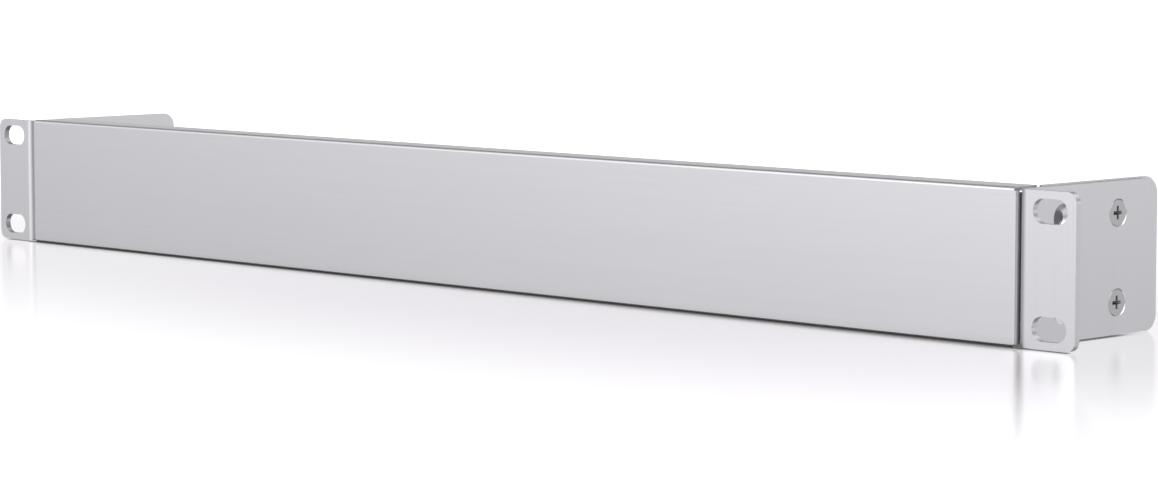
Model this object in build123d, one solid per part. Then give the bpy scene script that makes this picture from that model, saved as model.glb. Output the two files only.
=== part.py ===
from build123d import *
import os

# Rack blanking panel, one rack unit high: a tray folded from thin sheet, held
# between two ear brackets by countersunk screws in tapped collars.
# Millimetres. X runs along the width, Y from the front face to the back,
# Z up. The origin is the bottom centre of the whole assembly's box.

# Rack pattern (19-inch rack, one unit) and the ears that carry its slots
RACK_WIDTH = 482.6
EAR_WIDTH = 19.9
SLOT_TO_EAR_EDGE = 8.75
SLOT_SPACING_Z = 31.75
SLOT_LENGTH = 11.7
SLOT_HEIGHT = 6.8

# Front panel, folded from thin sheet; it fills the room between the brackets
PANEL_HEIGHT = 43.66
PANEL_DEPTH = 62.7
PANEL_SHEET = 1.2
PANEL_LONG_BEND = 0.9
PANEL_SIDE_BEND = 0.6
PANEL_INSIDE_BEND = 0.3
RETURN_DEPTH = 10.6
CORNER_GAP = 0.3
STEP_CLEARANCE = 0.7
CORNER_RELIEF = 1.0
PANEL_REAR_CORNER = 4.5

# Ear brackets, bent from thicker plate, a little lower and shorter than the panel
BRACKET_INSET = 0.38
BRACKET_SETBACK = 2.1
BRACKET_PLATE = 2.0
BRACKET_GAP = 0.1
BRACKET_INSIDE_BEND = 1.0
EAR_CORNER = 3.0
BRACKET_REAR_CORNER = 4.5

# Countersunk holes in each bracket: a square of four, the rear two in use
HOLE_PITCH = 25.0
HOLE_FRONT = 17.5
HOLE_CLEARANCE = 0.6
SINK_CLEARANCE = 0.6

# Screws
SCREW_SHANK = 4.0
SCREW_HEAD = 7.4
SCREW_LENGTH = 6.0
SCREW_HEAD_RIM = 0.2
SCREW_TIP_CHAMFER = 0.5
CROSS_SPAN = 4.0
CROSS_WIDTH = 0.95
CROSS_DEPTH = 1.6
CROSS_FLOOR = 1.0
THREAD_CLEARANCE = 0.05

# Tapped collars, drawn inwards from the panel's side walls
COLLAR_WALL = 0.9
COLLAR_HEIGHT = 1.3
COLLAR_CHAMFER = 0.2
COLLAR_ENTRY = 0.4

# How far a cutter runs past the metal that it cuts
PAST = 5.0

FRONT = -PANEL_DEPTH / 2
MID_Z = PANEL_HEIGHT / 2
EAR_EDGE = RACK_WIDTH / 2
BRACKET_INSIDE = EAR_EDGE - EAR_WIDTH
BRACKET_OUTSIDE = BRACKET_INSIDE + BRACKET_PLATE
WALL_OUTSIDE = BRACKET_INSIDE - BRACKET_GAP
WALL_INSIDE = WALL_OUTSIDE - PANEL_SHEET
RETURN_BACK = FRONT + RETURN_DEPTH
RETURN_END = WALL_INSIDE - CORNER_GAP
EAR_BACK = FRONT + BRACKET_PLATE
SLOT_X = EAR_EDGE - SLOT_TO_EAR_EDGE
SCREW_Y = FRONT + HOLE_FRONT + HOLE_PITCH
HOLE_LEVELS = {"lower": MID_Z - HOLE_PITCH / 2, "upper": MID_Z + HOLE_PITCH / 2}
HOLE_DIAMETER = SCREW_SHANK + HOLE_CLEARANCE
SINK_DIAMETER = SCREW_HEAD + SINK_CLEARANCE


def block(x, y, z):
    """Axis-aligned box from three (low, high) pairs."""
    box = Box(x[1] - x[0], y[1] - y[0], z[1] - z[0])
    return box.translate((sum(x) / 2, sum(y) / 2, sum(z) / 2))


def along_x(shape, x, y, z):
    """Stand a shape built along Z on the +X axis, its zero at a point."""
    return shape.rotate(Axis.Y, 90).translate((x, y, z))


def both_ends(cutter):
    """A cutter at the top right corner, repeated at all four corners."""
    lower = cutter.mirror(Plane.XY.offset(MID_Z))
    pair = [cutter, lower]
    return pair + [piece.mirror(Plane.YZ) for piece in pair]


def tray_block(half_width, front, back, low, high, long_bend, side_bend):
    """Block with rounded front edges: long bends and, if given, side bends."""
    body = block((-half_width, half_width), (front, back), (low, high))
    front_edges = body.edges().group_by(Axis.Y)[0]
    rounded = fillet(front_edges.filter_by(Axis.X), long_bend)
    if side_bend:
        rounded &= fillet(front_edges.filter_by(Axis.Z), side_bend)
    return rounded


def left(shape):
    """The left-hand twin of a right-hand shape."""
    return shape.mirror(Plane.YZ)


def right_collar(z):
    """Ring on the inner face of the right side wall, for the screw's thread."""
    ring = Cylinder(SCREW_SHANK / 2 + COLLAR_WALL, COLLAR_HEIGHT)
    ring = chamfer(ring.edges().group_by(Axis.Z)[0], COLLAR_CHAMFER)
    return along_x(ring, WALL_INSIDE - COLLAR_HEIGHT / 2, SCREW_Y, z)


def right_tapped_hole(z):
    """Cutter for the hole through the right side wall and its collar."""
    entry = Cone(SCREW_SHANK / 2, SCREW_SHANK / 2 + COLLAR_ENTRY, COLLAR_ENTRY)
    bore = Cylinder(SCREW_SHANK / 2, 2 * (PANEL_SHEET + COLLAR_HEIGHT + PAST))
    return along_x(bore + entry.translate((0, 0, -COLLAR_ENTRY / 2)), WALL_OUTSIDE, SCREW_Y, z)


def front_panel():
    """Tray: plain face, short top and bottom returns, deep side walls."""
    top = PANEL_HEIGHT
    back = FRONT + PANEL_DEPTH
    tray = tray_block(WALL_OUTSIDE, FRONT, back, 0, top, PANEL_LONG_BEND, PANEL_SIDE_BEND)
    tray -= tray_block(WALL_INSIDE, FRONT + PANEL_SHEET, back + PAST,
                       PANEL_SHEET, top - PANEL_SHEET, PANEL_INSIDE_BEND, 0)
    behind_returns = block((-WALL_INSIDE, WALL_INSIDE), (RETURN_BACK, back + PAST),
                           (-PAST, top + PAST))
    tray -= behind_returns
    corner_strip = block((RETURN_END, WALL_OUTSIDE + PAST),
                         (FRONT + PANEL_SHEET, RETURN_BACK + STEP_CLEARANCE),
                         (top - PANEL_SHEET - CORNER_GAP, top + PAST))
    face_notch = block((WALL_OUTSIDE - CORNER_RELIEF, WALL_OUTSIDE + PAST),
                       (FRONT - PAST, FRONT + PANEL_SHEET),
                       (top - CORNER_RELIEF, top + PAST))
    for cutter in both_ends(corner_strip) + both_ends(face_notch):
        tray -= cutter
    rear_corners = tray.edges().filter_by(Axis.X).group_by(Axis.Y)[-1]
    tray = fillet(rear_corners, PANEL_REAR_CORNER)
    for z in HOLE_LEVELS.values():
        tray += right_collar(z) + left(right_collar(z))
        tray -= right_tapped_hole(z) + left(right_tapped_hole(z))
    return tray


def slot_cutter(x, z):
    """Obround rack slot through the ear, its long axis along the width."""
    outline = Plane.XZ * SlotOverall(SLOT_LENGTH, SLOT_HEIGHT)
    cutter = extrude(outline, BRACKET_PLATE + PAST, both=True)
    return cutter.translate((x, FRONT, z))


def countersink():
    """Cutter for a countersunk hole, its mouth at zero and opening to +Z."""
    depth = (SINK_DIAMETER - HOLE_DIAMETER) / 2
    cone = Cone(HOLE_DIAMETER / 2, SINK_DIAMETER / 2, depth).translate((0, 0, -depth / 2))
    mouth = Cylinder(SINK_DIAMETER / 2, PAST).translate((0, 0, PAST / 2))
    return cone + mouth + Cylinder(HOLE_DIAMETER / 2, 2 * PAST)


def upright_edge(body, x, y):
    """The upright edges of a body that stand at x, y."""
    near = 0.01
    return [edge for edge in body.edges().filter_by(Axis.Z)
            if abs(edge.center().X - x) < near and abs(edge.center().Y - y) < near]


def right_bracket():
    """L-shaped ear bracket on the +X side."""
    height = (BRACKET_INSET, PANEL_HEIGHT - BRACKET_INSET)
    back = FRONT + PANEL_DEPTH - BRACKET_SETBACK
    ear = block((BRACKET_INSIDE, EAR_EDGE), (FRONT, EAR_BACK), height)
    plate = block((BRACKET_INSIDE, BRACKET_OUTSIDE), (FRONT, back), height)
    body = ear + plate
    body = fillet(upright_edge(body, BRACKET_INSIDE, FRONT), BRACKET_INSIDE_BEND + BRACKET_PLATE)
    body = fillet(upright_edge(body, BRACKET_OUTSIDE, EAR_BACK), BRACKET_INSIDE_BEND)
    body = fillet(body.edges().filter_by(Axis.Y).group_by(Axis.X)[-1], EAR_CORNER)
    body = fillet(body.edges().filter_by(Axis.X).group_by(Axis.Y)[-1], BRACKET_REAR_CORNER)
    for z in (MID_Z - SLOT_SPACING_Z / 2, MID_Z + SLOT_SPACING_Z / 2):
        body -= slot_cutter(SLOT_X, z)
    for y in (FRONT + HOLE_FRONT, SCREW_Y):
        for z in HOLE_LEVELS.values():
            body -= along_x(countersink(), BRACKET_OUTSIDE, y, z)
    return body


def cross_recess(top):
    """Cutter for a cross recess that narrows from its mouth at top."""
    arm = Box(CROSS_SPAN, CROSS_WIDTH, CROSS_DEPTH)
    taper = Cone(CROSS_FLOOR / 2, CROSS_SPAN / 2, CROSS_DEPTH)
    cross = (arm + arm.rotate(Axis.Z, 90)) & taper
    return cross.translate((0, 0, top - CROSS_DEPTH / 2))


def right_screw(z):
    """Countersunk screw seated in the right bracket."""
    seat = -SINK_CLEARANCE / 2
    top = seat + SCREW_HEAD_RIM
    shank = SCREW_SHANK / 2 - THREAD_CLEARANCE
    neck = seat - (SCREW_HEAD / 2 - shank)
    tip = top - SCREW_LENGTH
    outline = Polyline((0, top), (SCREW_HEAD / 2, top), (SCREW_HEAD / 2, seat),
                       (shank, neck), (shank, tip + SCREW_TIP_CHAMFER),
                       (shank - SCREW_TIP_CHAMFER, tip), (0, tip), (0, top))
    body = revolve(Plane.XZ * make_face(outline), Axis.Z)
    return along_x(body - cross_recess(top), BRACKET_OUTSIDE, SCREW_Y, z)


pieces = {"front_panel": front_panel(), "right_bracket": right_bracket()}
pieces["left_bracket"] = left(pieces["right_bracket"])
for level, z in HOLE_LEVELS.items():
    pieces["right_screw_" + level] = right_screw(z)
    pieces["left_screw_" + level] = left(right_screw(z))

os.makedirs("parts", exist_ok=True)
for name, piece in pieces.items():
    export_step(piece, "parts/" + name + ".step")
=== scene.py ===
"""Looks of a rack blanking panel: satin sheet metal in a white studio.

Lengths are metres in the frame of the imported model: X runs across the width, Y from
the front face to the back and Z up, with the origin under the middle of the panel.
"""

import logging
import math
from collections.abc import Callable
from dataclasses import dataclass
from enum import Enum
from functools import partial

import bmesh
import bpy
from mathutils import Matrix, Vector

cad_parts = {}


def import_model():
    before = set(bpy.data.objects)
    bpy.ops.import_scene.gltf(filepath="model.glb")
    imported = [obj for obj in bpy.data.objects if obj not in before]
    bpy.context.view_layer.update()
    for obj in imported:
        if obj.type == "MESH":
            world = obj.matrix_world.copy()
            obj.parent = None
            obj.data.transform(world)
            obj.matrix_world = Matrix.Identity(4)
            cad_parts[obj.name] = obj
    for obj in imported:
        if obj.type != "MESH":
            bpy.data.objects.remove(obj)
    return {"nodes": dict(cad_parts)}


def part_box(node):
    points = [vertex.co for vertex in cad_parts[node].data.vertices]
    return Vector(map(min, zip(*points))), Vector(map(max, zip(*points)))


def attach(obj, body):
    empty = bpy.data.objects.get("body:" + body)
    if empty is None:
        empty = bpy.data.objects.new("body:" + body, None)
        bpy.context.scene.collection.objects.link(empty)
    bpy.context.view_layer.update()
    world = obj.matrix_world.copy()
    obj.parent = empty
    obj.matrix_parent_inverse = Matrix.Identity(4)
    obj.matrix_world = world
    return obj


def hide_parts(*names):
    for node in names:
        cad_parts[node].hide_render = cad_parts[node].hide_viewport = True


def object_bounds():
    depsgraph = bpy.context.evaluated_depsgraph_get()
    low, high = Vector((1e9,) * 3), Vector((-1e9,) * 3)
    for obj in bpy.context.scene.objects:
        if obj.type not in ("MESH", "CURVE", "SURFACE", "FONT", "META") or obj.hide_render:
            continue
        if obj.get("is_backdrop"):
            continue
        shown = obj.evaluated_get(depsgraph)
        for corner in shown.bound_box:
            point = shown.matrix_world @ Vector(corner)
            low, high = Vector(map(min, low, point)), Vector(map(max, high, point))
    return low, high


LOG = logging.getLogger("blanking_panel")
MM = 0.001

Colour = tuple[float, float, float]
Triple = tuple[float, float, float]
# The two ends of a smooth step, or two values that belong together
Span = tuple[float, float]

WHITE = (1.0, 1.0, 1.0, 1.0)
# How far the ears stand out past the side plates
EAR_REACH = 17.9 * MM
# The sheet's and the plate's colour, and how a sheared edge differs from the face
SATIN = (0.70, 0.70, 0.732)
EDGE_SHADE = 0.03
EDGE_ROUGHER = 0.04
# Octaves of finer noise in polishing lines and in clouds
STREAK_DETAIL = 2.0
CLOUD_DETAIL = 3.0
NOISE_ROUGHNESS = 0.6


class Value:
    """A shader value that takes part in Python arithmetic.

    Each operator adds one Math node to the graph that the value belongs to.
    """

    def __init__(self, graph: "Graph", socket: bpy.types.NodeSocket | None) -> None:
        """Wraps an output socket, if there is one, of a graph that new nodes go into."""
        self.graph = graph
        self.socket = socket

    def _math(self, operation: str, *terms: "Value | float") -> "Value":
        """The result of one Math node over the terms, given in socket order."""
        return self.graph.node("ShaderNodeMath", {"operation": operation}, dict(enumerate(terms)))

    def __add__(self, other: "Value | float") -> "Value":
        """Sum."""
        return self._math("ADD", self, other)

    def __radd__(self, other: float) -> "Value":
        """Sum with a number on the left."""
        return self._math("ADD", other, self)

    def __sub__(self, other: "Value | float") -> "Value":
        """Difference."""
        return self._math("SUBTRACT", self, other)

    def __rsub__(self, other: float) -> "Value":
        """Difference with a number on the left."""
        return self._math("SUBTRACT", other, self)

    def __mul__(self, other: "Value | float") -> "Value":
        """Product."""
        return self._math("MULTIPLY", self, other)

    def __rmul__(self, other: float) -> "Value":
        """Product with a number on the left."""
        return self._math("MULTIPLY", other, self)

    def __pow__(self, exponent: float) -> "Value":
        """Power."""
        return self._math("POWER", self, exponent)

    def __abs__(self) -> "Value":
        """Size without sign."""
        return self._math("ABSOLUTE", self)

    def at_least(self, floor: "Value | float") -> "Value":
        """The larger of the value and a floor."""
        return self._math("MAXIMUM", self, floor)

    def sine(self) -> "Value":
        """Sine of the value in radians."""
        return self._math("SINE", self)

    def rise(self, start: float, end: float) -> "Value":
        """Smooth step from 0 at start to 1 at end.

        Args:
            start: The value where the step leaves 0.
            end: The value where the step reaches 1; it may lie below start.

        Returns:
            The step, from 0 to 1.
        """
        settings = {"interpolation_type": "SMOOTHSTEP", "clamp": True}
        return self.graph.node(
            "ShaderNodeMapRange", settings, {0: self, 1: start, 2: end, 3: 0.0, 4: 1.0}
        )


class Graph:
    """A node tree that is filled by Python expressions."""

    def __init__(self, tree: bpy.types.NodeTree) -> None:
        """Empties a material's or the world's node tree, to fill it anew."""
        self.tree = tree
        self.tree.nodes.clear()

    def node(
        self,
        kind: str,
        settings: dict[str, object] | None = None,
        inputs: dict[str | int, object] | None = None,
        output: str | int = 0,
    ) -> Value:
        """Adds a node, sets its settings first and then its sockets.

        Args:
            kind: The node's type name.
            settings: Properties of the node.
            inputs: Values or links, by socket name or number.
            output: The output socket to return.

        Returns:
            The wrapped output socket, or an empty value for a node that has none.
        """
        node = self.tree.nodes.new(kind)
        for name, setting in (settings or {}).items():
            setattr(node, name, setting)
        for key, given in (inputs or {}).items():
            if isinstance(given, Value):
                self.tree.links.new(given.socket, node.inputs[key])
            else:
                node.inputs[key].default_value = given
        return Value(self, node.outputs[output] if len(node.outputs) else None)

    def place(self) -> Value:
        """The point on the object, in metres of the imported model's frame."""
        return self.node("ShaderNodeTexCoord", output="Object")

    def facing(self) -> Value:
        """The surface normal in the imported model's frame."""
        return self.node("ShaderNodeTexCoord", output="Normal")

    def parts(self, vector: Value) -> tuple[Value, Value, Value]:
        """The X, Y and Z parts of a vector."""
        split = self.node("ShaderNodeSeparateXYZ", inputs={0: vector}).socket.node
        return tuple(Value(self, socket) for socket in split.outputs)

    def noise(self, point: Value, per_metre: Triple, detail: float) -> Value:
        """Noise from 0 to 1, stretched by its own count of grains along each axis.

        Args:
            point: The point to read the noise at.
            per_metre: Grains per metre along X, Y and Z.
            detail: Octaves of finer noise.

        Returns:
            The noise value.
        """
        stretched = self.node(
            "ShaderNodeVectorMath", {"operation": "MULTIPLY"}, {0: point, 1: per_metre}
        )
        return self.node(
            "ShaderNodeTexNoise",
            {"noise_dimensions": "3D"},
            {"Vector": stretched, "Scale": 1.0, "Detail": detail, "Roughness": NOISE_ROUGHNESS},
            "Fac",
        )

    def tint(self, share: Value, first: Value | Colour, second: Value | Colour) -> Value:
        """Mixes two colours.

        Args:
            share: The share of the second colour, from 0 to 1.
            first: The colour at 0, as a link or as numbers.
            second: The colour at 1.

        Returns:
            The mixed colour.
        """
        ends = [end if isinstance(end, Value) else (*end, 1.0) for end in (first, second)]
        inputs = {0: share, 6: ends[0], 7: ends[1]}
        return self.node("ShaderNodeMix", {"data_type": "RGBA"}, inputs, 2)

    def glow(self, strength: Value | float) -> Value:
        """A white glow of a given strength."""
        return self.node("ShaderNodeEmission", inputs={"Color": WHITE, "Strength": strength})


def blend(share: Value, low: Value | float, high: Value | float) -> Value:
    """A value that goes from low to high with share."""
    return low + share * (high - low)


def length(*parts: Value) -> Value:
    """The length of the vector that has these parts."""
    first, *others = (part * part for part in parts)
    return sum(others, first) ** 0.5


def new_material(name: str, surface: Callable[[Graph], Value]) -> bpy.types.Material:
    """Makes a material from a function that builds its surface.

    Args:
        name: The material's name.
        surface: Builds the shader in the graph that it is given.

    Returns:
        The new material.
    """
    made = bpy.data.materials.new(name)
    made.use_nodes = True
    graph = Graph(made.node_tree)
    graph.node("ShaderNodeOutputMaterial", inputs={"Surface": surface(graph)})
    return made


def dress(piece: bpy.types.Object, material: bpy.types.Material) -> None:
    """Gives a piece one material in place of those it came with."""
    piece.data.materials.clear()
    piece.data.materials.append(material)


class Grain(Enum):
    """The way that a surface's polishing lines run."""

    LEVEL = "lines run level, round the sides and along the returns"
    UPRIGHT = "lines run upright"
    TURNED = "lines run in rings round the screw's axis"


@dataclass(frozen=True)
class Patch:
    """Part of a surface that differs from the rest of it.

    Attributes:
        where: Gives the patch's share, from 0 to 1.
        shade: How much darker the metal is there.
        rougher: How much rougher it is there.
    """

    where: Callable[[Graph], Value]
    shade: float
    rougher: float


@dataclass(frozen=True)
class SatinSteel:
    """A satin metal finish with fine polishing lines.

    Attributes:
        name: The finish's name.
        shade: The metal's colour, from 0 to 1 per channel.
        roughness: The mean roughness.
        grain: The way that the lines run.
        fine_lines: Fine lines per metre across the grain.
        stretch: How much longer than wide a fine line is.
        broad_width: How much wider a broad band is than a fine line.
        broad_length: How much longer a broad band is than a fine line.
        lines_per_ring: Fine lines that one turned ring takes the room of.
        mottle: Grains per metre of the mottling on turned metal.
        cloud: Grains per metre of the clouds, along X, Y and Z.
        flat_face: Upward parts of the normal between which a face counts as level.
        mix: Shares of fine lines, broad bands and clouds in the marks.
        colour_marks: Marks between which the colour goes from dark to light.
        contrast: How much lighter and darker than the mean the lines are.
        gloss_change: How much the roughness changes over the marks.
        relief: Shares of fine lines and broad bands in the relief.
        relief_strength: The strength of the relief.
        depth: The depth of the lines, in metres.
    """

    name: str
    shade: Colour
    roughness: float
    grain: Grain
    fine_lines: float = 4200.0
    stretch: float = 140.0
    broad_width: float = 6.0
    broad_length: float = 5.0
    lines_per_ring: float = 3.0
    mottle: float = 900.0
    cloud: Triple = (14.0, 14.0, 22.0)
    flat_face: Span = (0.4, 0.8)
    mix: Triple = (0.5, 0.3, 0.2)
    colour_marks: Span = (0.2, 0.8)
    contrast: float = 0.025
    gloss_change: float = 0.12
    relief: Span = (0.7, 0.3)
    relief_strength: float = 0.35
    depth: float = 2e-6

    def streaks(self, graph: Graph, across: float, along: float) -> Value:
        """Streaks that run with the grain.

        Args:
            graph: The graph of the material.
            across: Streaks per metre across the grain.
            along: Streaks per metre along it.

        Returns:
            The streaks, from 0 to 1.
        """
        point = graph.place()
        if self.grain is Grain.UPRIGHT:
            return graph.noise(point, (across, across, along), STREAK_DETAIL)
        _, _, facing_up = graph.parts(graph.facing())
        return blend(
            abs(facing_up).rise(*self.flat_face),
            graph.noise(point, (along, along, across), STREAK_DETAIL),
            graph.noise(point, (along, across, along), STREAK_DETAIL),
        )

    def rings(self, graph: Graph, axis: Triple) -> Value:
        """Turned rings round an axis that runs along X.

        Args:
            graph: The graph of the material.
            axis: A point on the axis.

        Returns:
            The rings, from 0 to 1.
        """
        inputs = {0: graph.place(), 1: axis}
        from_axis = graph.node("ShaderNodeVectorMath", {"operation": "SUBTRACT"}, inputs)
        _, back, up = graph.parts(from_axis)
        per_metre = self.fine_lines / self.lines_per_ring
        return (length(back, up) * (per_metre * math.tau)).sine() * 0.5 + 0.5

    def lines(self, graph: Graph, axis: Triple) -> tuple[Value, Value]:
        """The fine and the broad polishing lines.

        Args:
            graph: The graph of the material.
            axis: A point on the axis of turned rings.

        Returns:
            The fine lines and the broad bands, each from 0 to 1.
        """
        if self.grain is Grain.TURNED:
            mottling = graph.noise(graph.place(), (self.mottle,) * 3, CLOUD_DETAIL)
            return self.rings(graph, axis), mottling
        across, along = self.fine_lines, self.fine_lines / self.stretch
        fine = self.streaks(graph, across, along)
        return fine, self.streaks(graph, across / self.broad_width, along / self.broad_length)

    def surface(self, patches: tuple[Patch, ...], axis: Triple, graph: Graph) -> Value:
        """Builds the metal's shader.

        Args:
            patches: Parts of the surface that differ, such as cut edges.
            axis: A point on the axis of turned rings.
            graph: The graph of the material.

        Returns:
            The shader.
        """
        thin, broad = self.lines(graph, axis)
        cloud = graph.noise(graph.place(), self.cloud, CLOUD_DETAIL)
        thin_share, broad_share, cloud_share = self.mix
        mark = thin * thin_share + broad * broad_share + cloud * cloud_share
        dark = tuple(channel * (1 - self.contrast) for channel in self.shade)
        light = tuple(min(1.0, channel * (1 + self.contrast)) for channel in self.shade)
        colour = graph.tint(mark.rise(*self.colour_marks), dark, light)
        roughness = (mark - 0.5) * self.gloss_change + self.roughness
        for patch in patches:
            share = patch.where(graph)
            shade = tuple(channel * (1 - patch.shade) for channel in self.shade)
            colour = graph.tint(share, colour, shade)
            roughness = share * patch.rougher + roughness
        height = thin * self.relief[0] + broad * self.relief[1]
        bump = graph.node(
            "ShaderNodeBump",
            inputs={"Strength": self.relief_strength, "Distance": self.depth, "Height": height},
        )
        return graph.node(
            "ShaderNodeBsdfPrincipled",
            inputs={
                "Base Color": colour,
                "Metallic": 1.0,
                "Roughness": roughness,
                "Normal": bump,
            },
        )

    def material(
        self, patches: tuple[Patch, ...], axis: Triple = (0.0, 0.0, 0.0)
    ) -> bpy.types.Material:
        """Makes the material, with patches that differ and an axis for turned rings."""
        return new_material(self.name, partial(self.surface, patches, axis))


@dataclass
class FrontPanel:
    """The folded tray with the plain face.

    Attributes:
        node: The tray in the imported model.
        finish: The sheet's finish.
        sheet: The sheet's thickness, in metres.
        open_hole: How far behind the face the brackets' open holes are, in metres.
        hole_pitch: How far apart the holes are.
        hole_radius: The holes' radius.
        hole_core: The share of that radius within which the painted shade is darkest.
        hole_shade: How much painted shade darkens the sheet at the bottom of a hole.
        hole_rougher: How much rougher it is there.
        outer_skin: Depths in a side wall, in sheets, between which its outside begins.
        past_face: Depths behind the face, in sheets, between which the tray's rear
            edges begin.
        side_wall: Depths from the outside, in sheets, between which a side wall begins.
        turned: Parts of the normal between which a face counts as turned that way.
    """

    node: bpy.types.Object
    finish: SatinSteel = SatinSteel("satin sheet, level grain", SATIN, 0.3, Grain.LEVEL)
    sheet: float = 1.2 * MM
    open_hole: float = 17.5 * MM
    hole_pitch: float = 25.0 * MM
    hole_radius: float = 2.3 * MM
    hole_core: float = 0.8
    hole_shade: float = 0.75
    hole_rougher: float = 0.1
    outer_skin: Span = (0.4, 0.2)
    past_face: Span = (1.2, 1.5)
    side_wall: Span = (1.1, 1.0)
    turned: Span = (0.6, 0.8)

    def painted_hole_shade_share(self, graph: Graph) -> Value:
        """Painted shade on the bits of side wall at the bottom of the brackets' open holes.

        Args:
            graph: The graph of the material.

        Returns:
            The share of hole bottom.
        """
        low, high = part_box("front_panel")
        across, depth, height = graph.parts(graph.place())
        outside = abs(across).rise(*(high.x - share * self.sheet for share in self.outer_skin))
        back = depth - (low.y + self.open_hole)
        up = abs(height - (low.z + high.z) / 2) - self.hole_pitch / 2
        in_hole = length(back, up).rise(self.hole_radius, self.hole_core * self.hole_radius)
        return in_hole * outside

    def cut_edges(self, graph: Graph) -> Value:
        """The tray's cut edges: behind the returns, and round the side walls.

        Args:
            graph: The graph of the material.

        Returns:
            The share of cut edge.
        """
        low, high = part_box("front_panel")
        across, depth, _ = graph.parts(graph.place())
        _, facing_back, facing_up = graph.parts(graph.facing())
        behind_face = depth.rise(*(low.y + share * self.sheet for share in self.past_face))
        on_wall = abs(across).rise(*(high.x - share * self.sheet for share in self.side_wall))
        ends = facing_back.rise(*self.turned) * behind_face
        return ends.at_least(abs(facing_up).rise(*self.turned) * on_wall)

    def build(self) -> None:
        """Dresses the tray."""
        edges = Patch(self.cut_edges, EDGE_SHADE, EDGE_ROUGHER)
        # Painted shade: the side wall is darkened where it shows at the bottom of the open holes.
        holes = Patch(self.painted_hole_shade_share, self.hole_shade, self.hole_rougher)
        dress(self.node, self.finish.material((edges, holes)))
        LOG.info("%s dressed", self.node.name)


@dataclass
class EarBrackets:
    """The two L-shaped brackets at the ends.

    Attributes:
        nodes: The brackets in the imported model.
        finish: The plate's finish.
        bend_end: Distances out from the side plate, in metres, between which the bend
            gives way to the flat ear.
        rear_edge: Distances from the rear, in metres, between which the rear edge with
            its round corners begins.
        turned: Parts of the normal between which a face counts as turned that way.
        off_front: How far the normal leaves the front's direction, from 0 to 1,
            between which a face of the ear counts as its edge.
    """

    nodes: list[bpy.types.Object]
    finish: SatinSteel = SatinSteel("satin plate, upright grain", SATIN, 0.32, Grain.UPRIGHT)
    bend_end: Span = (1.1 * MM, 1.2 * MM)
    rear_edge: Span = (6 * MM, 4 * MM)
    turned: Span = (0.5, 0.7)
    off_front: Span = (0.3, 0.5)

    def cut_edges(self, graph: Graph) -> Value:
        """The plate's cut edges: its outline all round, and the slots' walls.

        Args:
            graph: The graph of the material.

        Returns:
            The share of cut edge.
        """
        _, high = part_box("right_bracket")
        across, depth, _ = graph.parts(graph.place())
        _, facing_back, facing_up = graph.parts(graph.facing())
        on_ear = abs(across).rise(*(high.x - EAR_REACH + reach for reach in self.bend_end))
        at_rear = depth.rise(*(high.y - reach for reach in self.rear_edge))
        ear_edges = (1 - abs(facing_back)).rise(*self.off_front) * on_ear
        rear_edges = facing_back.rise(*self.turned) * at_rear
        level_edges = abs(facing_up).rise(*self.turned)
        return level_edges.at_least(ear_edges).at_least(rear_edges)

    def build(self) -> None:
        """Dresses both brackets."""
        edges = Patch(self.cut_edges, EDGE_SHADE, EDGE_ROUGHER)
        material = self.finish.material((edges,))
        for node in self.nodes:
            dress(node, material)
            LOG.info("%s dressed", node.name)


@dataclass(frozen=True)
class Seat:
    """Where a screw sits.

    Attributes:
        centre: The middle of the head's face.
        outward: 1 for a head that faces +X, -1 for one that faces -X.
    """

    centre: Vector
    outward: float

    def point(self, depth: float, level: float, up: float) -> Vector:
        """The point at a depth under the head's face, level with and up from the axis."""
        return self.centre + Vector((-depth * self.outward, level * self.outward, up))


@dataclass(frozen=True)
class CrossRecess:
    """A cross recess whose arms have sloping flanks.

    Attributes:
        mouth: Half the span and half the arm width at the head's face.
        shoulder: Depth, half span and half arm width where the arms end.
        pit: Depth, half span and half arm width at the bottom.
        lift: How far the cutter stands over the face.
        shade: How much darker the painted shade makes the recess's walls.
        rougher: How much rougher they are.
        painted_shade_depth: The depth at which that painted shade is darkest.
        past_pit: Shares of the pit's depth between which the dark ends below.
        past_span: Shares of the mouth's half span between which it ends sideways.
    """

    mouth: Span = (2.0 * MM, 0.52 * MM)
    shoulder: Triple = (0.7 * MM, 1.4 * MM, 0.2 * MM)
    pit: Triple = (1.7 * MM, 0.3 * MM, 0.14 * MM)
    lift: float = 0.1 * MM
    shade: float = 0.6
    rougher: float = 0.1
    painted_shade_depth: float = 0.4 * MM
    past_pit: Span = (1.08, 1.02)
    past_span: Span = (1.1, 1.05)

    def cutter(self, seat: Seat) -> bmesh.types.BMesh:
        """Builds the solid to cut away, as one cross that narrows with depth.

        Args:
            seat: Where the screw sits.

        Returns:
            The closed cutter.
        """
        mesh = bmesh.new()
        levels = ((-self.lift, *self.mouth), (0.0, *self.mouth), self.shoulder, self.pit)
        rings = []
        for depth, span, arm in levels:
            quarter = ((span, -arm), (span, arm), (arm, arm))
            ring = []
            for turn in range(4):
                for level, up in quarter:
                    for _ in range(turn):
                        level, up = -up, level
                    ring.append(mesh.verts.new(seat.point(depth, level, up)))
            rings.append(ring)
        close_rings(mesh, rings)
        return mesh

    def walls(self, seat: Seat, graph: Graph) -> Value:
        """Painted shade on the walls of a screw's recess, growing with depth.

        Args:
            seat: Where the screw sits.
            graph: The graph of the material.

        Returns:
            The share of painted shade.
        """
        across, depth, height = graph.parts(graph.place())
        under = (seat.centre.x - across) * seat.outward
        radius = length(depth - seat.centre.y, height - seat.centre.z)
        within_pit = under.rise(*(share * self.pit[0] for share in self.past_pit))
        within_span = radius.rise(*(share * self.mouth[0] for share in self.past_span))
        return under.rise(0.0, self.painted_shade_depth) * within_pit * within_span

    def patch(self, seat: Seat) -> Patch:
        """The recess's walls, darkened by painted shade, as part of the screw's surface."""
        return Patch(partial(self.walls, seat), self.shade, self.rougher)


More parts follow.
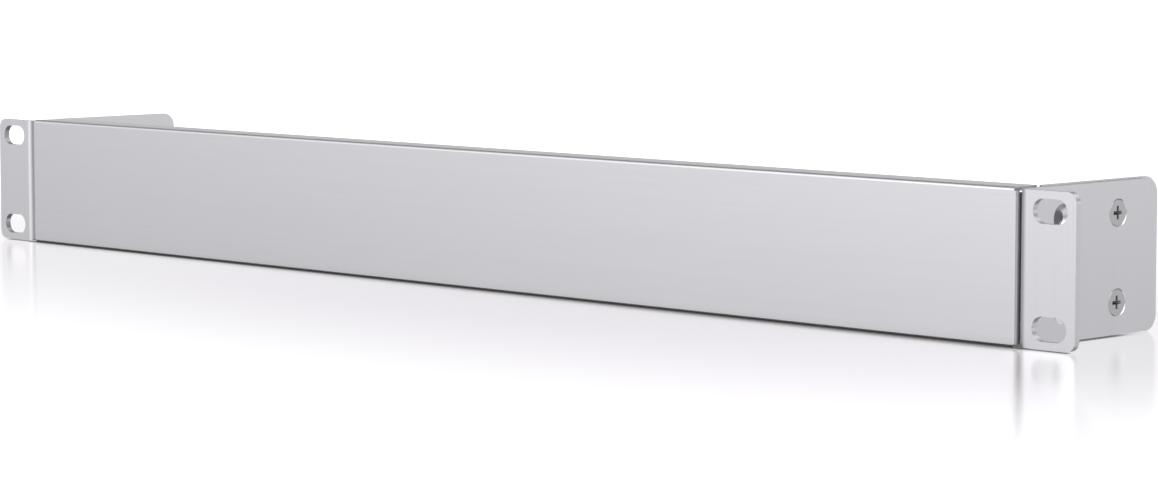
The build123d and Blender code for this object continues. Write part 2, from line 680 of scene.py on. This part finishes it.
def close_rings(mesh: bmesh.types.BMesh, rings: list[list[bmesh.types.BMVert]]) -> None:
    """Joins rings of points into one closed skin, with its faces outward.

    Args:
        mesh: The mesh that holds the points.
        rings: Rings of as many points each, in order.
    """
    for upper, lower in zip(rings, rings[1:]):
        for index in range(len(upper)):
            after = (index + 1) % len(upper)
            mesh.faces.new((upper[index], upper[after], lower[after], lower[index]))
    mesh.faces.new(rings[0])
    mesh.faces.new(rings[-1])
    bmesh.ops.recalc_face_normals(mesh, faces=mesh.faces)


def mesh_object(name: str, mesh: bmesh.types.BMesh) -> bpy.types.Object:
    """Turns a mesh into an object of the scene.

    Args:
        name: The object's name.
        mesh: Its mesh, which is freed.

    Returns:
        The new object.
    """
    data = bpy.data.meshes.new(name)
    mesh.to_mesh(data)
    mesh.free()
    made = bpy.data.objects.new(name, data)
    bpy.context.scene.collection.objects.link(made)
    return made


@dataclass
class Screws:
    """The countersunk screws that join brackets and tray, with cut threads.

    Attributes:
        nodes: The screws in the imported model, which these replace.
        finish: The screws' finish.
        recess: The recess in each head.
        head_radius: The head's radius, in metres.
        head_rim: The height of its straight rim.
        rim_break: The bevel round its face.
        thread_radius: The thread's outer radius.
        thread_depth: The thread's depth.
        pitch: The thread's rise per turn.
        flat: The share of the pitch that is flat at crest and root.
        tip_chamfer: The chamfer at the tip.
        sides: Points round each ring.
        rows_per_turn: Rings per turn of the thread.
        smooth_turn: The turn between faces, in degrees, over which an edge is sharp.
    """

    nodes: list[bpy.types.Object]
    finish: SatinSteel = SatinSteel("turned screw steel", (0.535, 0.53, 0.55), 0.34, Grain.TURNED)
    recess: CrossRecess = CrossRecess()
    head_radius: float = 3.7 * MM
    head_rim: float = 0.2 * MM
    rim_break: float = 0.06 * MM
    thread_radius: float = 1.95 * MM
    thread_depth: float = 0.36 * MM
    pitch: float = 0.7 * MM
    flat: float = 0.12
    tip_chamfer: float = 0.5 * MM
    sides: int = 40
    rows_per_turn: int = 10
    smooth_turn: float = 25.0

    @property
    def neck(self) -> float:
        """The distance under the face where the cone meets the shank."""
        return self.head_rim + self.head_radius - self.thread_radius

    def thread(self, depth: float, turn: float, tip: float) -> float:
        """The radius of the threaded shank.

        Args:
            depth: The distance under the head's face.
            turn: The place round the axis, as a share of a turn.
            tip: The distance under the head's face of the screw's tip.

        Returns:
            The radius there.
        """
        phase = depth / self.pitch + turn
        from_crest = 2 * abs(phase - round(phase))
        cut = min(1.0, max(0.0, (from_crest - self.flat) / (1 - 2 * self.flat)))
        run_in = min(1.0, (depth - self.neck) / self.pitch)
        radius = self.thread_radius - self.thread_depth * cut * run_in
        return min(radius, self.thread_radius - self.tip_chamfer + tip - depth)

    def blank(self, seat: Seat, tip: float) -> bmesh.types.BMesh:
        """Builds the screw without its recess.

        Args:
            seat: Where the screw sits.
            tip: The distance under the head's face of the screw's tip.

        Returns:
            The closed mesh.
        """
        shank = tip - self.neck
        threaded = math.ceil(shank / (self.pitch / self.rows_per_turn))
        depths = [self.neck + shank * row / threaded for row in range(threaded + 1)]
        head = (
            (0.0, self.head_radius - self.rim_break),
            (self.rim_break, self.head_radius),
            (self.head_rim, self.head_radius),
        )
        mesh = bmesh.new()
        turns = [side / self.sides for side in range(self.sides)]
        rows = [(depth, [radius] * self.sides) for depth, radius in head]
        rows += [(depth, [self.thread(depth, turn, tip) for turn in turns]) for depth in depths]
        rings = []
        for depth, radii in rows:
            ring = []
            for turn, radius in zip(turns, radii):
                angle = turn * math.tau
                level, up = radius * math.cos(angle), radius * math.sin(angle)
                ring.append(mesh.verts.new(seat.point(depth, level, up)))
            rings.append(ring)
        close_rings(mesh, rings)
        return mesh

    def cut_recess(self, piece: bpy.types.Object, seat: Seat) -> None:
        """Cuts the cross recess out of a screw.

        Args:
            piece: The screw.
            seat: Where the screw sits.
        """
        cutter = mesh_object("recess_cutter", self.recess.cutter(seat))
        cut = piece.modifiers.new("recess", "BOOLEAN")
        cut.operation = "DIFFERENCE"
        cut.solver = "EXACT"
        cut.object = cutter
        ready = piece.evaluated_get(bpy.context.evaluated_depsgraph_get())
        shaped = bpy.data.meshes.new_from_object(ready)
        piece.modifiers.clear()
        piece.data = shaped
        bpy.data.objects.remove(cutter)

    def build(self) -> None:
        """Builds and dresses each screw in place of its node."""
        for node in self.nodes:
            low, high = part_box(node.name)
            outward = math.copysign(1.0, high.x)
            middle = (low + high) / 2
            face = high.x if outward > 0 else low.x
            seat = Seat(Vector((face, middle.y, middle.z)), outward)
            piece = mesh_object(node.name + "_threaded", self.blank(seat, high.x - low.x))
            self.cut_recess(piece, seat)
            piece.data.shade_smooth()
            piece.data.set_sharp_from_angle(angle=math.radians(self.smooth_turn))
            # The recess's walls get painted shade in the screw's colour.
            dress(piece, self.finish.material((self.recess.patch(seat),), tuple(middle)))
            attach(piece, "root")
            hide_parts(node.name)
            LOG.info("%s built with %d faces", piece.name, len(piece.data.polygons))


@dataclass(frozen=True)
class SoftBox:
    """A broad soft light on the sky.

    Attributes:
        towards: The direction from the object to the light.
        tightness: The exponent of its falloff; higher is smaller.
        power: Its brightness at the middle; negative for a dark card.
    """

    towards: Triple
    tightness: float
    power: float

    def light(self, graph: Graph, direction: Value) -> Value:
        """The light that comes from a direction.

        Args:
            graph: The graph of the sky.
            direction: The direction that is looked in.

        Returns:
            The brightness that this light adds there.
        """
        towards = tuple(Vector(self.towards).normalized())
        inputs = {0: direction, 1: towards}
        settings = {"operation": "DOT_PRODUCT"}
        along = graph.node("ShaderNodeVectorMath", settings, inputs, "Value")
        return along.at_least(0.0) ** self.tightness * self.power


@dataclass
class Sky:
    """The white room that lights the object and shows in its metal.

    Heights in the sky are sines of the angle over the horizon, and depths are the Y
    part of the direction.

    Attributes:
        room: Brightness of the room in front of the object.
        room_end: Depths between which it gives way to the dark at the sides.
        gloom: Brightness of that dark, and of the room over the paper.
        paper: Brightness of the white paper behind the object.
        paper_start: Depths between which the dark at the sides gives way to it.
        paper_top: Heights between which the paper ends.
        dusk: Heights between which the light from the floor gives way to the sky.
        far_floor: Brightness just under the horizon, in front and behind.
        near_floor: Brightness well under the horizon, from the floor close by.
        close_by: Heights between which the near floor takes over.
        pit: Brightness behind and far below, in the object's own shade.
        pit_start: Heights between which that begins.
        pit_front: Depths between which it begins.
        soft_boxes: Broad lights that brighten the sky, and dark cards.
    """

    room: float = 0.52
    room_end: Span = (-0.55, -0.15)
    gloom: float = 0.3
    paper: float = 1.07
    paper_start: Span = (0.3, 0.55)
    paper_top: Span = (0.12, 0.24)
    dusk: Span = (-0.19, 0.01)
    far_floor: Span = (0.34, 0.47)
    near_floor: float = 0.92
    close_by: Span = (-0.24, -0.44)
    pit: float = 0.1
    pit_start: Span = (-0.46, -0.66)
    pit_front: Span = (0.1, 0.4)
    soft_boxes: tuple[SoftBox, ...] = (
        SoftBox((-0.42, -0.9, 0.04), 8.0, 1.36),
        SoftBox((-0.35, -0.7, 0.62), 14.0, 1.6),
        SoftBox((0.65, -0.2, 0.75), 8.0, 2.8),
        SoftBox((1.0, -0.1, 0.0), 6.0, 0.4),
        SoftBox((0.1, 0.8, 0.58), 24.0, 1.1),
        SoftBox((0.55, -0.83, 0.0), 14.0, -0.35),
    )

    def above(self, graph: Graph, direction: Value) -> Value:
        """Brightness of the sky over the horizon.

        Args:
            graph: The graph of the sky.
            direction: The direction that is looked in.

        Returns:
            The brightness.
        """
        _, depth, height = graph.parts(direction)
        behind = blend(height.rise(*self.paper_top), self.paper, self.gloom)
        light = blend(depth.rise(*self.room_end), self.room, self.gloom)
        light = blend(depth.rise(*self.paper_start), light, behind)
        for box in self.soft_boxes:
            light = light + box.light(graph, direction)
        return light

    def below(self, graph: Graph, direction: Value) -> Value:
        """Brightness of the floor under the horizon, as the metal mirrors it.

        Args:
            graph: The graph of the sky.
            direction: The direction that is looked in.

        Returns:
            The brightness.
        """
        _, depth, height = graph.parts(direction)
        far = blend(depth.rise(*self.paper_start), *self.far_floor)
        lit = blend(height.rise(*self.close_by), far, self.near_floor)
        in_pit = height.rise(*self.pit_start) * depth.rise(*self.pit_front)
        return blend(in_pit, lit, self.pit)

    def build(self) -> None:
        """Sets up a soft sky, which the camera itself sees as plain white."""
        world = bpy.data.worlds.new("studio sky")
        world.use_nodes = True
        bpy.context.scene.world = world
        graph = Graph(world.node_tree)
        direction = graph.node("ShaderNodeTexCoord", output="Generated")
        _, _, height = graph.parts(direction)
        under, over = self.below(graph, direction), self.above(graph, direction)
        light = blend(height.rise(*self.dusk), under, over)
        seen = graph.node("ShaderNodeLightPath", output="Is Camera Ray")
        inputs = {"Color": WHITE, "Strength": blend(seen, light, 1.0)}
        background = graph.node("ShaderNodeBackground", inputs=inputs)
        graph.node("ShaderNodeOutputWorld", inputs={"Surface": background})
        LOG.info("sky set up")


@dataclass
class Floor:
    """The white floor, which mirrors the object faintly, with the object's shadow painted on it.

    Attributes:
        box: The object's lowest and highest corner.
        reach: Half the floor's length, in metres.
        white: Brightness of the floor.
        shade: Brightness of the painted shadow right under the object.
        painted_shadow_reach: How far from the object the painted shadow ends, in metres.
        painted_shadow_back: Places along Y between which it thins out to the back.
        return_depth: The depth of the returns, which stand on the floor.
        wall: The thickness of a side wall and its plate together.
        hollow_back: How far behind the return the painted shadow has left the tray's hollow.
        hollow_side: How far in from a side wall it has.
        ear_painted_shadow: The share of that painted shadow under the ears.
        ear_painted_shadow_reach: The distance from an ear where it ends.
        ear_sheet: The ears' thickness.
        ear_corner: The radius of their corners.
        gloss: The refractive index of the floor's gloss.
        mirror: How strongly the floor mirrors at the left and the right end, next to
            that gloss alone.
        mirror_drop: Places along the diagonal, X plus Y, between which it weakens.
        mirror_loss: The share that is lost there.
        mirror_reach: Distances from the object between which it fades, in metres.
        mirror_colour: The colour of that reflection.
        mirror_blur: Its roughness.
        dark: Brightness of the painted shade that the object's own foot mirrors.
        painted_shade_front: How far that painted shade comes forward.
        painted_shade_drop: How far it lies under the floor, so that the floor can't mirror it.
    """

    box: tuple[Vector, Vector]
    reach: float = 30.0
    white: float = 1.5
    shade: float = 0.15
    painted_shadow_reach: float = 1.8 * MM
    painted_shadow_back: Span = (10 * MM, 20 * MM)
    return_depth: float = 10.6 * MM
    wall: float = 3.3 * MM
    hollow_back: float = 6 * MM
    hollow_side: float = 4 * MM
    ear_painted_shadow: float = 0.9
    ear_painted_shadow_reach: float = 0.6 * MM
    ear_sheet: float = 2.0 * MM
    ear_corner: float = 3.0 * MM
    gloss: float = 1.45
    mirror: Span = (1.07, 1.58)
    mirror_drop: Span = (0.18, 0.197)
    mirror_loss: float = 0.21
    mirror_reach: Span = (0.015, 0.36)
    mirror_colour: Colour = (0.68, 0.65, 0.68)
    mirror_blur: float = 0.16
    dark: float = 0.04
    painted_shade_front: float = 4 * MM
    painted_shade_drop: float = 0.1 * MM

    @property
    def foot(self) -> float:
        """Half the width of what stands on the floor: the tray and its side plates."""
        return self.box[1].x - EAR_REACH

    def painted_shadow_share(self, graph: Graph) -> Value:
        """The painted shadow under the object's foot and under its ears.

        Args:
            graph: The graph of the floor.

        Returns:
            The share of shade.
        """
        low, high = self.box
        across, depth, _ = graph.parts(graph.place())
        beside = (abs(across) - self.foot).at_least(0.0)
        before = (low.y - depth).at_least(0.0)
        near = 1 - length(beside, before).rise(0.0, self.painted_shadow_reach)
        return_back = low.y + self.return_depth
        behind_return = depth.rise(return_back, return_back + self.hollow_back)
        inner = self.foot - self.wall
        hollow = behind_return * abs(across).rise(inner, inner - self.hollow_side)
        foot = near * (1 - depth.rise(*self.painted_shadow_back)) * (1 - hollow)
        past_ear = (abs(across) - (high.x - self.ear_corner)).at_least(0.0)
        half_sheet = self.ear_sheet / 2
        off_ear = (abs(depth - low.y - half_sheet) - half_sheet).at_least(0.0)
        under_ear = 1 - length(past_ear, off_ear).rise(0.0, self.ear_painted_shadow_reach)
        return foot.at_least(under_ear * self.ear_painted_shadow)

    def mirror_share(self, graph: Graph) -> Value:
        """How strongly the floor mirrors the object.

        Args:
            graph: The graph of the floor.

        Returns:
            The share of reflection.
        """
        low, high = self.box
        across, depth, _ = graph.parts(graph.place())
        beside = (abs(across) - high.x).at_least(0.0)
        before = (low.y - depth).at_least(0.0)
        behind = (depth - high.y).at_least(0.0)
        near = 1 - length(beside, before, behind).rise(*self.mirror_reach)
        grazing = graph.node("ShaderNodeFresnel", inputs={"IOR": self.gloss})
        strongest = grazing * blend(across.rise(low.x, high.x), *self.mirror)
        past_panel = (across + depth).rise(*self.mirror_drop)
        return near * strongest * (1 - past_panel * self.mirror_loss)

    def surface(self, graph: Graph) -> Value:
        """Builds the floor's shader.

        Args:
            graph: The graph of the floor.

        Returns:
            The shader.
        """
        inputs = {"Color": (*self.mirror_colour, 1.0), "Roughness": self.mirror_blur}
        mirror = graph.node("ShaderNodeBsdfAnisotropic", inputs=inputs)
        inputs = {0: self.mirror_share(graph), 1: graph.glow(self.white), 2: mirror}
        polished = graph.node("ShaderNodeMixShader", inputs=inputs)
        # Painted shadow: the floor's glow is dimmed under the object's foot and ears.
        inputs = {0: self.painted_shadow_share(graph), 1: polished, 2: graph.glow(self.shade)}
        return graph.node("ShaderNodeMixShader", inputs=inputs)

    def painted_shade_surface(self, graph: Graph) -> Value:
        """A painted shade right under the object, a dark glow that only its own metal mirrors."""
        return graph.glow(self.dark)

    def plane(
        self, name: str, low: Vector, high: Vector, material: bpy.types.Material
    ) -> bpy.types.Object:
        """Lays a level plane under the object, as part of the stage.

        Args:
            name: The plane's name.
            low: Its lowest corner; its height is the plane's height.
            high: Its highest corner.
            material: Its material.

        Returns:
            The plane.
        """
        mesh = bmesh.new()
        corners = ((low.x, low.y), (high.x, low.y), (high.x, high.y), (low.x, high.y))
        mesh.faces.new([mesh.verts.new((x, y, low.z)) for x, y in corners])
        plane = mesh_object(name, mesh)
        dress(plane, material)
        plane.visible_diffuse = False
        plane.visible_shadow = False
        plane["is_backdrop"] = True
        LOG.info("%s laid", name)
        return plane

    def build(self) -> None:
        """Lays the floor and the painted shade right under the object."""
        reach = Vector((self.reach, self.reach, 0.0))
        white = new_material("white studio floor", self.surface)
        floor = self.plane("studio_floor", -reach, reach, white)
        floor.visible_glossy = False
        # A dark sheet under the foot, hidden from the camera and seen only in the metal: painted
        # shade.
        low, _ = self.box
        near = Vector((-self.foot, low.y - self.painted_shade_front, -self.painted_shade_drop))
        far = Vector((self.foot, low.y + self.return_depth, -self.painted_shade_drop))
        under = new_material("painted shade under the object", self.painted_shade_surface)
        dark = self.plane("studio_painted_shade", near, far, under)
        dark.visible_camera = False


@dataclass
class StudioCamera:
    """The camera at the photograph's place.

    Attributes:
        place: Where it stands, in metres.
        pitch: How far it looks down, in degrees.
        turn: How far it is turned from looking along +Y, in degrees.
        lens: The focal length, in millimetres.
        sensor: The sensor's width, in millimetres.
        clip: The nearest and the farthest that it sees, in metres.
    """

    place: Triple = (0.82108, -0.79377, 0.11743)
    pitch: float = 5.383
    turn: float = 45.163
    lens: float = 111.66
    sensor: float = 36.0
    clip: Span = (0.01, 100.0)

    def build(self) -> None:
        """Sets up the scene's camera, and the plain view of its pictures."""
        data = bpy.data.cameras.new("studio_camera")
        data.sensor_width = self.sensor
        data.lens = self.lens
        data.clip_start, data.clip_end = self.clip
        camera = bpy.data.objects.new("studio_camera", data)
        camera.location = self.place
        tilt, turn = math.radians(90 - self.pitch), math.radians(self.turn)
        camera.rotation_euler = (tilt, 0.0, turn)
        bpy.context.scene.collection.objects.link(camera)
        bpy.context.scene.camera = camera
        bpy.context.scene.view_settings.view_transform = "Standard"
        LOG.info("camera set up")


def main() -> None:
    """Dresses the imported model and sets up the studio."""
    logging.basicConfig(level=logging.INFO, format="%(name)s: %(message)s")
    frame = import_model()
    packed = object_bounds()
    nodes = frame["nodes"]
    FrontPanel(nodes["front_panel"]).build()
    EarBrackets([nodes["left_bracket"], nodes["right_bracket"]]).build()
    Screws([node for name, node in sorted(nodes.items()) if "screw" in name]).build()
    Sky().build()
    Floor(packed).build()
    StudioCamera().build()


if __name__ == "__main__":
    main()
